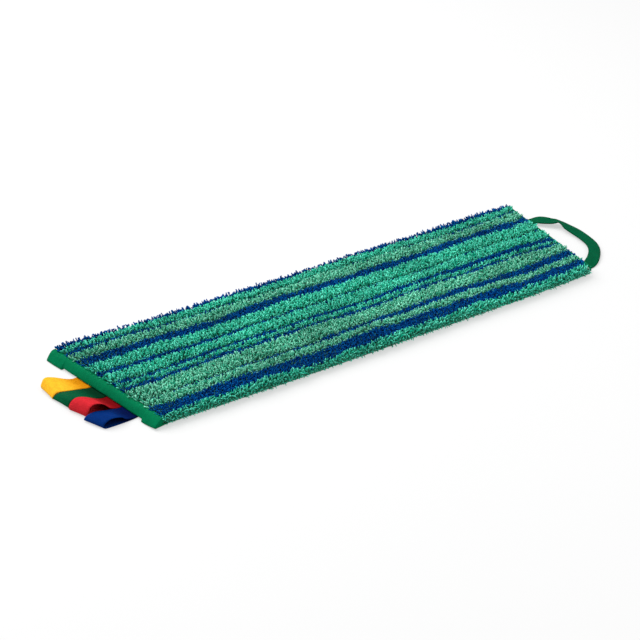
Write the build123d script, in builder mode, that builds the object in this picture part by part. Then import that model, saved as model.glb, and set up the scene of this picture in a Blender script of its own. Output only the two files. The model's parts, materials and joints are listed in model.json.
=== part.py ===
from build123d import *
import math
import os

# Flat mop pad, pile side up. Millimetres, +Z up.
# The origin is the centre of the loop face, the face that a mop frame grips from below.
# +X runs along the pad towards the hanging loop, -X towards the colour tabs.

# Plan of the pad
PILE_LENGTH = 450.0  # between the two end bindings, measured along the middle
CLOTH_HALF_WIDTH = 69.0  # base cloth, before the pile on its sides
PILE_HALF_WIDTH = 72.5  # over the pile that wraps round the long sides
END_SKEW_DEG = 4.0  # the ends are cut out of square, so the +Y side is the longer one
CLOTH_TUCK = 5.0  # how far the layers reach into each end binding

# Layers, from the loop face upwards
BACKING_THICKNESS = 1.4
NAP = 0.2  # how far the loop fabric stands proud where no hem or binding presses it flat
CORE_THICKNESS = 2.6
CLOTH_THICKNESS = 1.0
STACK_TOP = BACKING_THICKNESS + CORE_THICKNESS + CLOTH_THICKNESS
HEM_WIDTH = 18.0  # base cloth folded under each long side
HEM_THICKNESS = 1.2
PILE_RISE = {"blue": 2.8, "mint": 4.2, "sage": 4.0}
PILE_SKIRT_DEPTH = 1.2  # the side pile ends level with the hem
PILE_ROUNDING = 1.0
EDGE_ROUNDING = 2.4

# Rows of pile from the +Y side to the -Y side: colour and width
PILE_ROWS = [
    ("blue", 5.5),
    ("mint", 10.5),
    ("blue", 2.5),
    ("sage", 13.0),
    ("blue", 9.5),
    ("mint", 16.5),
    ("blue", 3.0),
    ("mint", 14.0),
    ("blue", 5.0),
    ("mint", 5.5),
    ("blue", 4.5),
    ("sage", 18.5),
    ("blue", 5.0),
    ("sage", 10.5),
    ("blue", 12.5),
    ("mint", 9.0),
]

# End bindings: woven tape folded round the cut ends
TAPE = 1.0
BINDING_START = 0.2  # clear of the pile
BINDING_FLAT = 3.6  # end of the flat top, measured outwards from the end of the pile
BINDING_REACH = 9.0  # outer edge between the corners
BINDING_LOWER_LEG = 7.0  # under the pad
CORNER_REACH = 10.0  # outer edge at the corners, where the hem thickens the pad
CORNER_START = 50.4
BINDING_HALF_LENGTH = 71.0
FLOOR = -HEM_THICKNESS - TAPE  # the underside of the corners, on which the pad lies

# Colour tabs: ribbons folded into flat loops
TAB_NAMES = ["yellow", "green", "red", "blue"]
TAB_PITCH = 20.0
TAB_WIDTH = 19.4
TAB_FIRST = 26.0  # centre of the yellow tab, from the middle of the end towards +Y
TAB_LENGTHS = {"yellow": 30.0, "green": 31.0, "red": 29.0, "blue": 30.0}
TAB_CRESTS = {"yellow": 6.4, "green": 5.6, "red": 6.8, "blue": 6.6}
RIBBON = 0.4
FOLD_RADIUS = 1.8
TAB_FLOOR_START = 14.0  # the lower ribbon reaches the floor this far out
TAB_PIVOT_REACH = 10.0
TAB_PIVOT_HEIGHT = -TAPE - RIBBON
TAB_TAIL_START = 1.0
JOINT_GAP = 0.3

# Hanging loop: a folded tape, sewn under the other end in two places
LOOP_TAPE_WIDTH = 12.0
LOOP_TAPE = 1.2
LOOP_PIVOT_REACH = 11.0
LOOP_PIVOT_HEIGHT = FLOOR + LOOP_TAPE / 2
LOOP_ROOT = 40.0  # along the end towards +Y
LOOP_CORNER_ROOT = -51.0
LOOP_TAIL_START = 0.0
LOOP_TAIL_BOTTOM = -2.0
# Middle of the tape from one root to the other: reach past the pile, place along the end
LOOP_ROUTE = [(20, 36.5), (30, 30), (35, 18), (35.2, 4), (33.5, -11), (29.5, -25), (22, -38)]
LOOP_ARCH_HEIGHT = 2.0  # the tape arches clear of the floor beside its +Y root
LOOP_ARCH = (-30.0, 16.0, 34.0)  # where the arch starts, crests and ends, along the end

# Lockstitches
STITCH_LENGTH = 3.0
STITCH_WIDTH = 0.7
STITCH_RISE = 0.2
SEAM_PITCH = 5.0
SEAM_INSET = 3.0  # from the free edge of the hem and of each binding's lower leg
TACK_REACH = 4.5  # middle of the tack rows, measured outwards from the end of the pile
TACK_ROW_GAP = 3.0
TACK_PITCH = 4.0

HALF = PILE_LENGTH / 2
LONG = PILE_LENGTH  # half length of the rough stock, before its ends are trimmed
SIN = math.sin(math.radians(END_SKEW_DEG))
COS = math.cos(math.radians(END_SKEW_DEG))
UP = Vector(0, 0, 1)
TAB_END = -1
LOOP_END = 1


def outward(end):
    """Direction out of the pad at one end, square to the slanting end line."""
    return Vector(end * COS, -SIN, 0)


def along(end):
    """Direction along the end line, towards the +Y side."""
    return Vector(end * SIN, COS, 0)


def at_end(end, reach, offset, height=0.0):
    """A point given by its reach past the pile and its place along the end line."""
    return Vector(end * HALF, 0, height) + outward(end) * reach + along(end) * offset


def section_plane(end, offset):
    """Upright plane square to the end line: x is the reach, y is the height."""
    across = outward(end).cross(UP)
    return Plane(origin=at_end(end, 0, offset), x_dir=outward(end), z_dir=across)


def flat_plane(end, reach, offset, height):
    """Level plane at one end, with x pointing out of the pad."""
    return Plane(origin=at_end(end, reach, offset, height), x_dir=outward(end), z_dir=UP)


def trim_ends(reach):
    """Cuts the current part off at both ends, parallel to the end lines."""
    for end in (TAB_END, LOOP_END):
        cut = Plane(origin=at_end(end, reach, 0), z_dir=outward(end))
        split(bisect_by=cut, keep=Keep.BOTTOM)


def finish(part, name):
    part.label = name
    export_step(part, f"parts/{name}.step")


os.makedirs("parts", exist_ok=True)


# Face cloth: the knitted ground of the pile, wrapped round both sides and hemmed under
def base_cloth():
    hem_edge = CLOTH_HALF_WIDTH - HEM_WIDTH
    inside = CLOTH_HALF_WIDTH - CLOTH_THICKNESS
    with BuildPart() as cloth:
        with BuildSketch(Plane.YZ):
            with BuildLine():
                outer = Polyline(
                    (0, STACK_TOP),
                    (CLOTH_HALF_WIDTH, STACK_TOP),
                    (CLOTH_HALF_WIDTH, -HEM_THICKNESS),
                    (hem_edge, -HEM_THICKNESS),
                    (hem_edge, NAP),
                    (inside, NAP),
                    (inside, STACK_TOP - CLOTH_THICKNESS),
                    (0, STACK_TOP - CLOTH_THICKNESS),
                )
                mirror(outer, about=Plane.YZ)
            make_face()
        extrude(amount=LONG, both=True)
        trim_ends(CLOTH_TUCK)
    finish(cloth.part, "base_cloth")


# Wadding, between the loop fabric and the face cloth
def absorbent_core():
    inside = CLOTH_HALF_WIDTH - CLOTH_THICKNESS
    with BuildPart() as core:
        with BuildSketch(Plane.XY.offset(BACKING_THICKNESS)):
            Rectangle(2 * LONG, 2 * inside)
        extrude(amount=CORE_THICKNESS)
        trim_ends(CLOTH_TUCK)
    finish(core.part, "absorbent_core")


# Loop fabric: its edges lie pressed under the hems and bindings, its middle is the loop face
def loop_backing():
    inside = CLOTH_HALF_WIDTH - CLOTH_THICKNESS
    with BuildPart() as face:
        with BuildSketch(Plane.XY):
            Rectangle(2 * LONG, 2 * (CLOTH_HALF_WIDTH - HEM_WIDTH))
        extrude(amount=NAP)
        trim_ends(-BINDING_LOWER_LEG)
    with BuildPart() as backing:
        with BuildSketch(Plane.XY.offset(NAP)):
            Rectangle(2 * LONG, 2 * inside)
        extrude(amount=BACKING_THICKNESS - NAP)
        trim_ends(CLOTH_TUCK)
        add(face.part)
    finish(backing.part, "loop_backing")


# One row of pile on top of the base cloth
def pile_row(name, high_y, low_y, rise):
    with BuildPart() as row:
        with BuildSketch(Plane.YZ) as section:
            with Locations(((high_y + low_y) / 2, STACK_TOP + rise / 2)):
                Rectangle(high_y - low_y, rise)
            fillet(section.vertices().group_by(Axis.Y)[-1], PILE_ROUNDING)
        extrude(amount=LONG, both=True)
        trim_ends(0)
    finish(row.part, name)


# An outermost row, which turns over the edge and covers the side of the pad
def edge_row(name, side, inner_y, rise):
    top = STACK_TOP + rise
    with BuildPart() as row:
        with BuildSketch(Plane.YZ) as section:
            with BuildLine():
                Polyline(
                    (inner_y, STACK_TOP),
                    (side * CLOTH_HALF_WIDTH, STACK_TOP),
                    (side * CLOTH_HALF_WIDTH, -PILE_SKIRT_DEPTH),
                    (side * PILE_HALF_WIDTH, -PILE_SKIRT_DEPTH),
                    (side * PILE_HALF_WIDTH, top),
                    (inner_y, top),
                    close=True,
                )
            make_face()
            top_corners = section.vertices().group_by(Axis.Y)[-1].sort_by(Axis.X)
            fillet(top_corners[-1 if side > 0 else 0], EDGE_ROUNDING)
        extrude(amount=LONG, both=True)
        trim_ends(0)
    finish(row.part, name)


def pile():
    high_y = PILE_HALF_WIDTH
    for number, (colour, width) in enumerate(PILE_ROWS, start=1):
        low_y = high_y - width
        name = f"pile_row_{number:02d}_{colour}"
        rise = PILE_RISE[colour]
        if number == 1:
            edge_row(name, 1, low_y, rise)
        elif number == len(PILE_ROWS):
            edge_row(name, -1, high_y, rise)
        else:
            pile_row(name, high_y, low_y, rise)
        high_y = low_y


# Space taken by the layers inside a binding
def layer_stack():
    hem_edge = CLOTH_HALF_WIDTH - HEM_WIDTH
    with BuildPart() as stack:
        with BuildSketch(Plane.YZ):
            with Locations((0, (STACK_TOP + NAP) / 2)):
                Rectangle(2 * CLOTH_HALF_WIDTH, STACK_TOP - NAP)
            hem_y = (hem_edge + CLOTH_HALF_WIDTH) / 2
            hem_z = (NAP - HEM_THICKNESS) / 2
            with Locations((hem_y, hem_z), (-hem_y, hem_z)):
                Rectangle(HEM_WIDTH, HEM_THICKNESS + NAP)
        extrude(amount=LONG, both=True)
        trim_ends(CLOTH_TUCK)
    return stack.part


# Section of a binding's outside: flat top, rounded nose, flat underside
def binding_length(end, start, stop, reach, bottom, leg_top):
    """One stretch of a binding, from start to stop across the section plane."""
    nose_low = bottom + TAPE
    top = STACK_TOP + TAPE
    with BuildPart() as length:
        with BuildSketch(section_plane(end, 0)):
            with BuildLine():
                Polyline(
                    (reach, nose_low),
                    (reach - TAPE, bottom),
                    (-BINDING_LOWER_LEG, bottom),
                    (-BINDING_LOWER_LEG, leg_top),
                    (BINDING_START, leg_top),
                    (BINDING_START, top),
                    (BINDING_FLAT, top),
                )
                EllipticalCenterArc(
                    (BINDING_FLAT, nose_low),
                    reach - BINDING_FLAT,
                    top - nose_low,
                    start_angle=0,
                    arc_size=90,
                )
            make_face()
        extrude(amount=stop - start)
    shift = Location(outward(end).cross(UP) * start)
    return length.part.moved(shift)


def end_binding(name, end, layers, pockets):
    with BuildPart() as binding:
        add(binding_length(end, -CORNER_START, CORNER_START, BINDING_REACH, -TAPE, NAP))
        for start in (-BINDING_HALF_LENGTH, CORNER_START):
            stop = start + BINDING_HALF_LENGTH - CORNER_START
            add(binding_length(end, start, stop, CORNER_REACH, FLOOR, -HEM_THICKNESS))
        add(layers, mode=Mode.SUBTRACT)
        for pocket in pockets:
            add(pocket, mode=Mode.SUBTRACT)
    finish(binding.part, name)


# One colour tab: a ribbon folded back on itself, its crest standing clear of the floor
def colour_tab(name, offset, length, crest):
    root_x, root_z = TAB_PIVOT_REACH, TAB_PIVOT_HEIGHT
    low = FLOOR + RIBBON / 2
    fold = root_x + length
    fold_start = (fold, low + FOLD_RADIUS)
    floor_end = root_x + TAB_FLOOR_START
    with BuildPart() as tab:
        with BuildSketch(section_plane(TAB_END, offset - TAB_WIDTH / 2)):
            with BuildLine() as ribbon:
                Spline(
                    (root_x, root_z + RIBBON / 2),
                    (root_x + 5, root_z + 1.0),
                    (root_x + 0.52 * length, low + crest),
                    fold_start,
                    tangents=((1, 0.05), (0, -1)),
                )
                JernArc(fold_start, (0, -1), FOLD_RADIUS, -90)
                Line((fold - FOLD_RADIUS, low), (floor_end, low))
                Bezier(
                    (floor_end, low),
                    (root_x + TAB_FLOOR_START / 2, low),
                    (root_x + TAB_FLOOR_START / 2, root_z - RIBBON / 2),
                    (root_x, root_z - RIBBON / 2),
                )
            trace(ribbon.line, line_width=RIBBON)
            with Locations((root_x, root_z)):
                Circle(RIBBON)
        extrude(amount=TAB_WIDTH)
    finish(tab.part, f"{name}_tab")


# The two ends of a colour tab, sewn under the binding
def tab_tail(name, offset):
    reach = TAB_PIVOT_REACH - RIBBON - JOINT_GAP
    middle = (TAB_TAIL_START + reach) / 2
    with BuildPart() as tail:
        with BuildSketch(flat_plane(TAB_END, middle, offset, -TAPE - 2 * RIBBON)):
            Rectangle(reach - TAB_TAIL_START, TAB_WIDTH)
        extrude(amount=2 * RIBBON)
    finish(tail.part, f"{name}_tab_tail")


def rolled_edge(offset):
    """Plane on the hanging loop's turning line, facing along it towards +Y."""
    point = at_end(LOOP_END, LOOP_PIVOT_REACH, offset, LOOP_PIVOT_HEIGHT)
    return Plane(origin=point, x_dir=outward(LOOP_END), z_dir=along(LOOP_END))


def hanging_loop():
    rise_plane = Plane(origin=at_end(LOOP_END, 0, 0), x_dir=along(LOOP_END), z_dir=outward(LOOP_END))
    low = LOOP_PIVOT_HEIGHT
    high = LOOP_ARCH_HEIGHT
    arch_start, crest, arch_end = LOOP_ARCH
    with BuildPart() as loop:
        with BuildSketch(flat_plane(LOOP_END, 0, 0, FLOOR)):
            with BuildLine() as plan:
                Spline(
                    (LOOP_PIVOT_REACH, LOOP_ROOT),
                    *LOOP_ROUTE,
                    (LOOP_PIVOT_REACH, LOOP_CORNER_ROOT),
                    tangents=((1, 0), (-1, 0)),
                )
            trace(plan.line, line_width=LOOP_TAPE_WIDTH)
        extrude(amount=2 * (high - FLOOR))
        with BuildSketch(rise_plane):
            with BuildLine() as rise:
                Line((-CLOTH_HALF_WIDTH, low), (arch_start, low))
                Bezier((arch_start, low), (-12, low), (0, high), (crest, high))
                Bezier((crest, high), (26, high), (26, low), (arch_end, low))
                Line((arch_end, low), (CLOTH_HALF_WIDTH, low))
            trace(rise.line, line_width=LOOP_TAPE)
        extrude(amount=CLOTH_HALF_WIDTH, mode=Mode.INTERSECT)
        for offset in (LOOP_ROOT, LOOP_CORNER_ROOT):
            start = offset - LOOP_TAPE_WIDTH / 2
            with BuildSketch(rolled_edge(start)):
                Circle(LOOP_TAPE / 2)
            extrude(amount=LOOP_TAPE_WIDTH)
    finish(loop.part, "hanging_loop")


# A sewn-in end of the hanging loop
def loop_tail(offset, bottom, top):
    reach = LOOP_PIVOT_REACH - LOOP_TAPE / 2 - JOINT_GAP
    middle = (LOOP_TAIL_START + reach) / 2
    with BuildPart() as tail:
        with BuildSketch(flat_plane(LOOP_END, middle, offset, bottom)):
            Rectangle(reach - LOOP_TAIL_START, LOOP_TAPE_WIDTH)
        extrude(amount=top - bottom)
    return tail.part


def hem_stitching():
    seam_y = CLOTH_HALF_WIDTH - HEM_WIDTH + SEAM_INSET
    count = int((PILE_LENGTH - 4 * SEAM_PITCH) / SEAM_PITCH)
    with BuildPart() as stitches:
        with BuildSketch(Plane.XY.offset(-HEM_THICKNESS - STITCH_RISE)):
            with GridLocations(SEAM_PITCH, 2 * seam_y, count, 2):
                Rectangle(STITCH_LENGTH, STITCH_WIDTH)
        extrude(amount=STITCH_RISE)
    finish(stitches.part, "hem_stitching")


# Seam through a binding: on its flat top, and on its lower leg between the corners
def binding_stitching(name, end):
    top_reach = (BINDING_START + BINDING_FLAT) / 2
    top_count = int(2 * (BINDING_HALF_LENGTH - SEAM_PITCH) / SEAM_PITCH)
    low_count = int(2 * (CORNER_START - SEAM_PITCH) / SEAM_PITCH)
    low_reach = SEAM_INSET - BINDING_LOWER_LEG
    with BuildPart() as stitches:
        with BuildSketch(flat_plane(end, top_reach, 0, STACK_TOP + TAPE)):
            with GridLocations(SEAM_PITCH, SEAM_PITCH, 1, top_count):
                Rectangle(STITCH_WIDTH, STITCH_LENGTH)
        extrude(amount=STITCH_RISE)
        with BuildSketch(flat_plane(end, low_reach, 0, -TAPE - STITCH_RISE)):
            with GridLocations(SEAM_PITCH, SEAM_PITCH, 1, low_count):
                Rectangle(STITCH_WIDTH, STITCH_LENGTH)
        extrude(amount=STITCH_RISE)
    finish(stitches.part, name)


# Tack seams through the sewn-in ends: two rows under each one
def tack_stitching(name, end, offsets, count, bottom):
    with BuildPart() as stitches:
        for offset in offsets:
            with BuildSketch(flat_plane(end, TACK_REACH, offset, bottom - STITCH_RISE)):
                with GridLocations(TACK_ROW_GAP, TACK_PITCH, 2, count):
                    Rectangle(STITCH_WIDTH, STITCH_LENGTH)
            extrude(amount=STITCH_RISE)
    finish(stitches.part, name)


base_cloth()
loop_backing()
absorbent_core()
pile()

tab_offsets = [TAB_FIRST - i * TAB_PITCH for i in range(len(TAB_NAMES))]
for tab_name, tab_offset in zip(TAB_NAMES, tab_offsets):
    colour_tab(tab_name, tab_offset, TAB_LENGTHS[tab_name], TAB_CRESTS[tab_name])
    tab_tail(tab_name, tab_offset)

hanging_loop()
finish(loop_tail(LOOP_ROOT, LOOP_TAIL_BOTTOM, -TAPE), "hanging_loop_tail")
corner_tail = loop_tail(LOOP_CORNER_ROOT, LOOP_TAIL_BOTTOM, -HEM_THICKNESS)
finish(corner_tail, "hanging_loop_corner_tail")
corner_pocket = loop_tail(LOOP_CORNER_ROOT, FLOOR, -HEM_THICKNESS)

stack = layer_stack()
end_binding("tab_end_binding", TAB_END, stack, [])
end_binding("loop_end_binding", LOOP_END, stack, [corner_pocket])

hem_stitching()
binding_stitching("tab_end_binding_stitching", TAB_END)
binding_stitching("loop_end_binding_stitching", LOOP_END)
tack_stitching("tab_stitching", TAB_END, tab_offsets, 4, -TAPE - 2 * RIBBON)
tack_stitching("hanging_loop_stitching", LOOP_END, (LOOP_ROOT, LOOP_CORNER_ROOT), 2, LOOP_TAIL_BOTTOM)
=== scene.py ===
# Flat mop pad lying pile side up: striped twisted-loop pile, taped ends, ribbon tabs, hanging loop.
# Metres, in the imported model's frame: +X towards the hanging loop, +Z up through the pile.
import json
import math

import bmesh
import bpy
import numpy as np
from mathutils import Matrix, Vector


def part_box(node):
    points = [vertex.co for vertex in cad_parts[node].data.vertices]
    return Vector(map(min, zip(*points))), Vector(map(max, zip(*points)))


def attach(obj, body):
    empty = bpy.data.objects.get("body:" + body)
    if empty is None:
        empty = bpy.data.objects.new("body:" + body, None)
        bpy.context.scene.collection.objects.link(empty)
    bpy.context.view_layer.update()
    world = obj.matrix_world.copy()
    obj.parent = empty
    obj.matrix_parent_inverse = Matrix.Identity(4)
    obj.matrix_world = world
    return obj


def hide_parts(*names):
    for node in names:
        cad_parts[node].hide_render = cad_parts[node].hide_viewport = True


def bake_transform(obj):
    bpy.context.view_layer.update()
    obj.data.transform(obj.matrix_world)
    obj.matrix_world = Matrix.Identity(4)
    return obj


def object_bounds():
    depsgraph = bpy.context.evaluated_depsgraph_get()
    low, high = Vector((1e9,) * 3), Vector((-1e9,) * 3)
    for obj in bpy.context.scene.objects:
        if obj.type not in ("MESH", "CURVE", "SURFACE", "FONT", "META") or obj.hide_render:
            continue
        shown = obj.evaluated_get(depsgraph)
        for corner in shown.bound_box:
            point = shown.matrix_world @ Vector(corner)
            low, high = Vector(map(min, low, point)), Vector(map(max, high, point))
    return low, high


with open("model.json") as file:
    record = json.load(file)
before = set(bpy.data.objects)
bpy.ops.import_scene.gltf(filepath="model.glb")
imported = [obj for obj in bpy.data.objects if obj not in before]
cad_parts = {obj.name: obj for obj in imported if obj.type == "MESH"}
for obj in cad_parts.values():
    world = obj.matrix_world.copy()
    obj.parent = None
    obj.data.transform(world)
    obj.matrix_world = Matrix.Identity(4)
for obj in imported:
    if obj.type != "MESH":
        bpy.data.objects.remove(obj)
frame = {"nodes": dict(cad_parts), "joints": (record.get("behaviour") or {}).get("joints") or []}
cad_low, cad_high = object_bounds()
scene = bpy.context.scene
MM = 0.001
UP = Vector((0, 0, 1))

# Frame of each end, from the joints: the point where the pile ends, the way out, the way along
JOINTS = {joint["name"]: joint for joint in frame["joints"]}
TAB_REACH = 10 * MM  # the tabs turn this far out from the end of the pile
TAB_ALONG = Vector(JOINTS["yellow_tab_flip"]["axis"])
LOOP_ALONG = -Vector(JOINTS["hanging_loop_flip"]["axis"])
TAB_OUT = UP.cross(TAB_ALONG)
LOOP_OUT = LOOP_ALONG.cross(UP)
YELLOW_PIVOT = Vector(JOINTS["yellow_tab_flip"]["pos_m"])
PILE_HALF_LENGTH = (YELLOW_PIVOT.dot(TAB_OUT) - TAB_REACH) / abs(TAB_OUT.x)

# The soft pad lies a little further out of square than its nominal shape
SPLAY = math.radians(4.0)
TAB_ALONG = Matrix.Rotation(SPLAY, 3, "Z") @ TAB_ALONG
TAB_OUT = Matrix.Rotation(SPLAY, 3, "Z") @ TAB_OUT
LOOP_ALONG = Matrix.Rotation(-SPLAY, 3, "Z") @ LOOP_ALONG
LOOP_OUT = Matrix.Rotation(-SPLAY, 3, "Z") @ LOOP_OUT
SLANT = abs(TAB_ALONG.x / TAB_ALONG.y)

FLOOR = cad_low.z
CLOTH_HALF_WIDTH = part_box("base_cloth")[1].y
CLOTH_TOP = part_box("base_cloth")[1].z
HEM_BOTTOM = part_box("base_cloth")[0].z
PILE_HALF_WIDTH = cad_high.y
HEM_WIDTH = 18 * MM
TUCK = 1.6 * MM  # the cloth layers reach this far into the bindings


def at_end(end, reach, offset, height):
    """A point at one end of the pad, from its reach past the pile, place along the end and height."""
    out, along = (LOOP_OUT, LOOP_ALONG) if end > 0 else (TAB_OUT, TAB_ALONG)
    return Vector((end * PILE_HALF_LENGTH, 0, height)) + out * reach + along * offset


def half_length(y, past=0.0):
    """Half the pad's length at y: the ends slant, so it grows towards +Y."""
    return PILE_HALF_LENGTH + past + y * SLANT


def ramp(value, start, over):
    """0 up to start, growing to 1 over the given length past it."""
    return np.clip((value - start) / over, 0, 1)


def fade(distance, over):
    """1 at no distance, falling to 0 over the given length."""
    return np.clip(1 - distance / over, 0, 1)


TAB_END_DRAW = 6.5 * MM  # how far each binding draws in the pad's -Y side
LOOP_END_DRAW = 3.0 * MM


def lie(x, y):
    """Where a point of the flat pattern lies across the pad, which the bindings spread and draw in."""
    at_tabs = ramp(-x, 50 * MM, 175 * MM) ** 2
    at_loop = ramp(x, 140 * MM, 85 * MM) ** 2
    drawn = ramp(-y, 58 * MM, 12 * MM)
    spread = 1.2 * MM + 0.05 * y + TAB_END_DRAW * drawn
    return y + at_tabs * spread + at_loop * LOOP_END_DRAW * drawn


# ---------------------------------------------------------------- shader groups

def new_group(name, inputs, outputs):
    group = bpy.data.node_groups.new(name, "ShaderNodeTree")
    for label, kind, value in inputs:
        socket = group.interface.new_socket(label, in_out="INPUT", socket_type=kind)
        if value is not None:
            socket.default_value = value
    for label, kind in outputs:
        group.interface.new_socket(label, in_out="OUTPUT", socket_type=kind)
    return group, group.nodes.new("NodeGroupInput"), group.nodes.new("NodeGroupOutput")


def node(tree, kind, settings=(), links=()):
    """Adds a node, sets its properties and input values, and links its inputs."""
    made = tree.nodes.new(kind)
    for key, value in dict(settings).items():
        if hasattr(made, key):
            setattr(made, key, value)
        else:
            made.inputs[key].default_value = value
    for key, source in dict(links).items():
        tree.links.new(source, made.inputs[key])
    return made


def math_node(tree, operation, first, second):
    made = tree.nodes.new("ShaderNodeMath")
    made.operation = operation
    for slot, value in enumerate((first, second)):
        if isinstance(value, (int, float)):
            made.inputs[slot].default_value = value
        else:
            tree.links.new(value, made.inputs[slot])
    return made.outputs[0]


FLOAT, VECTOR = "NodeSocketFloat", "NodeSocketVector"


def weave_group():
    """Woven threads over a UV map in metres: height, and how far down between threads a point is."""
    group, given, result = new_group(
        "woven_threads",
        [("UV", VECTOR, None), ("Warp Pitch", FLOAT, 0.0005), ("Weft Pitch", FLOAT, 0.0008)],
        [("Height", FLOAT), ("Valley", FLOAT), ("Slub", FLOAT)],
    )
    parts = node(group, "ShaderNodeSeparateXYZ", links={0: given.outputs["UV"]})
    across = math_node(group, "DIVIDE", parts.outputs[0], given.outputs["Warp Pitch"])
    length = math_node(group, "DIVIDE", parts.outputs[1], given.outputs["Weft Pitch"])
    warp = math_node(group, "SINE", math_node(group, "MULTIPLY", across, math.tau), 0)
    weft = math_node(group, "SINE", math_node(group, "MULTIPLY", length, math.tau), 0)
    height = math_node(group, "MULTIPLY_ADD", math_node(group, "MULTIPLY", warp, weft), 0.5)
    height.node.inputs[2].default_value = 0.5
    valley = math_node(group, "POWER", math_node(group, "SUBTRACT", 1.0, height), 2.0)
    slub = node(
        group, "ShaderNodeTexNoise", {"Scale": 260.0, "Detail": 4.0}, {"Vector": given.outputs["UV"]}
    )
    group.links.new(height, result.inputs["Height"])
    group.links.new(valley, result.inputs["Valley"])
    group.links.new(slub.outputs["Fac"], result.inputs["Slub"])
    return group


def fibre_group():
    """Fine loose fibre on object coordinates: a fuzzy height and a slower patchiness."""
    group, given, result = new_group(
        "loose_fibre",
        [("Vector", VECTOR, None), ("Fibre Scale", FLOAT, 1500.0), ("Patch Scale", FLOAT, 30.0)],
        [("Height", FLOAT), ("Patch", FLOAT)],
    )
    fibre = node(
        group,
        "ShaderNodeTexNoise",
        {"Detail": 6.0, "Roughness": 0.65, "Distortion": 0.8},
        {"Vector": given.outputs["Vector"], "Scale": given.outputs["Fibre Scale"]},
    )
    patch = node(
        group,
        "ShaderNodeTexNoise",
        {"Detail": 2.0},
        {"Vector": given.outputs["Vector"], "Scale": given.outputs["Patch Scale"]},
    )
    group.links.new(fibre.outputs["Fac"], result.inputs["Height"])
    group.links.new(patch.outputs["Fac"], result.inputs["Patch"])
    return group


WEAVE = weave_group()
FIBRE = fibre_group()


# ---------------------------------------------------------------- materials

CLOTH_SPECULAR = 0.015  # matt fibres: almost no mirror-like reflection
SHEEN_ROUGHNESS = 0.5


def new_material(name, roughness, sheen, sheen_tint=(1, 1, 1, 1)):
    material = bpy.data.materials.new(name)
    material.use_nodes = True
    shader = material.node_tree.nodes["Principled BSDF"]
    shader.inputs["Roughness"].default_value = roughness
    shader.inputs["Sheen Weight"].default_value = sheen
    shader.inputs["Sheen Roughness"].default_value = SHEEN_ROUGHNESS
    shader.inputs["Sheen Tint"].default_value = sheen_tint
    shader.inputs["Specular IOR Level"].default_value = CLOTH_SPECULAR
    return material, material.node_tree, shader


def use_group(tree, group, values, links):
    return node(tree, "ShaderNodeGroup", {"node_tree": group, **values}, links)


def mix_colour(tree, factor, first, second, blend="MIX"):
    made = tree.nodes.new("ShaderNodeMix")
    made.data_type = "RGBA"
    made.blend_type = blend
    for slot, value in ((0, factor), (6, first), (7, second)):
        if isinstance(value, bpy.types.NodeSocket):
            tree.links.new(value, made.inputs[slot])
        else:
            made.inputs[slot].default_value = value
    return made.outputs[2]


def remap(tree, value, given, wanted=(0.0, 1.0)):
    """The value, with its range `given` stretched to the range `wanted`."""
    ranges = {"From Min": given[0], "From Max": given[1], "To Min": wanted[0], "To Max": wanted[1]}
    return node(tree, "ShaderNodeMapRange", ranges, {"Value": value}).outputs[0]


def dye(tree, shader, colour, level):
    """Colours the shader, lighter or darker by the level at each point."""
    grey = node(tree, "ShaderNodeCombineColor", links={0: level, 1: level, 2: level})
    tree.links.new(mix_colour(tree, 1.0, colour, grey.outputs[0], "MULTIPLY"), shader.inputs["Base Color"])


def bump(tree, shader, height, strength, distance):
    made = node(
        tree, "ShaderNodeBump", {"Strength": strength, "Distance": distance}, {"Height": height}
    )
    tree.links.new(made.outputs["Normal"], shader.inputs["Normal"])


def yarn_material(name, painted_root_shade, body, tip):
    """Twisted microfibre yarn: painted shade down in the pile, and a painted highlight at the tips whose
    strength each tuft draws at random.
    """
    material, tree, shader = new_material(name, 0.9, 0.03, (*tip, 1))
    place = node(tree, "ShaderNodeTexCoord")
    along = node(tree, "ShaderNodeAttribute", {"attribute_name": "tip"})
    shade = node(tree, "ShaderNodeAttribute", {"attribute_name": "shade"})
    fibre = use_group(
        tree, FIBRE, {"Fibre Scale": 1400.0, "Patch Scale": 26.0}, {"Vector": place.outputs["Object"]}
    )
    # painted shade at the root, fading to the body colour up the tuft
    rise = remap(tree, along.outputs["Fac"], (0.05, 0.75))
    ground = mix_colour(tree, rise, (*painted_root_shade, 1), (*body, 1))
    # painted highlight towards the tip, as strong as the tuft's random shade
    painted_tip_highlight = math_node(tree, "MULTIPLY", along.outputs["Fac"], shade.outputs["Fac"])
    with_painted_light = mix_colour(tree, painted_tip_highlight, ground, (*tip, 1))
    uneven = remap(tree, fibre.outputs["Patch"], (0.3, 0.7), (0.78, 1.15))
    strands = remap(tree, fibre.outputs["Height"], (0.3, 0.7), (0.7, 1.2))
    dye(tree, shader, with_painted_light, math_node(tree, "MULTIPLY", uneven, strands))
    bump(tree, shader, fibre.outputs["Height"], 0.6, 0.0004)
    return material


RIBBON_LENGTH = 82 * MM  # of the whole folded ribbon, from one sewn-in end to the other
PAINTED_SHADE_FULL_TO = 9 * MM  # painted shade is darkest up to this far from a sewn-in end
PAINTED_SHADE_CLEAR_FROM = 30 * MM  # and the painted shade is gone from here on


def painted_end_shade(tree, cloth_uv):
    """Painted shade near either sewn-in end of a ribbon: how much of its shadow colour to mix in, from how
    near the point is.
    """
    along = node(tree, "ShaderNodeSeparateXYZ", links={0: cloth_uv}).outputs[1]
    nearest = math_node(tree, "MINIMUM", along, math_node(tree, "SUBTRACT", RIBBON_LENGTH, along))
    painted_root_shade = remap(tree, nearest, (PAINTED_SHADE_FULL_TO, PAINTED_SHADE_CLEAR_FROM), (0.92, 0.0))
    painted_root_shade.node.interpolation_type = "SMOOTHSTEP"
    return painted_root_shade


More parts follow.
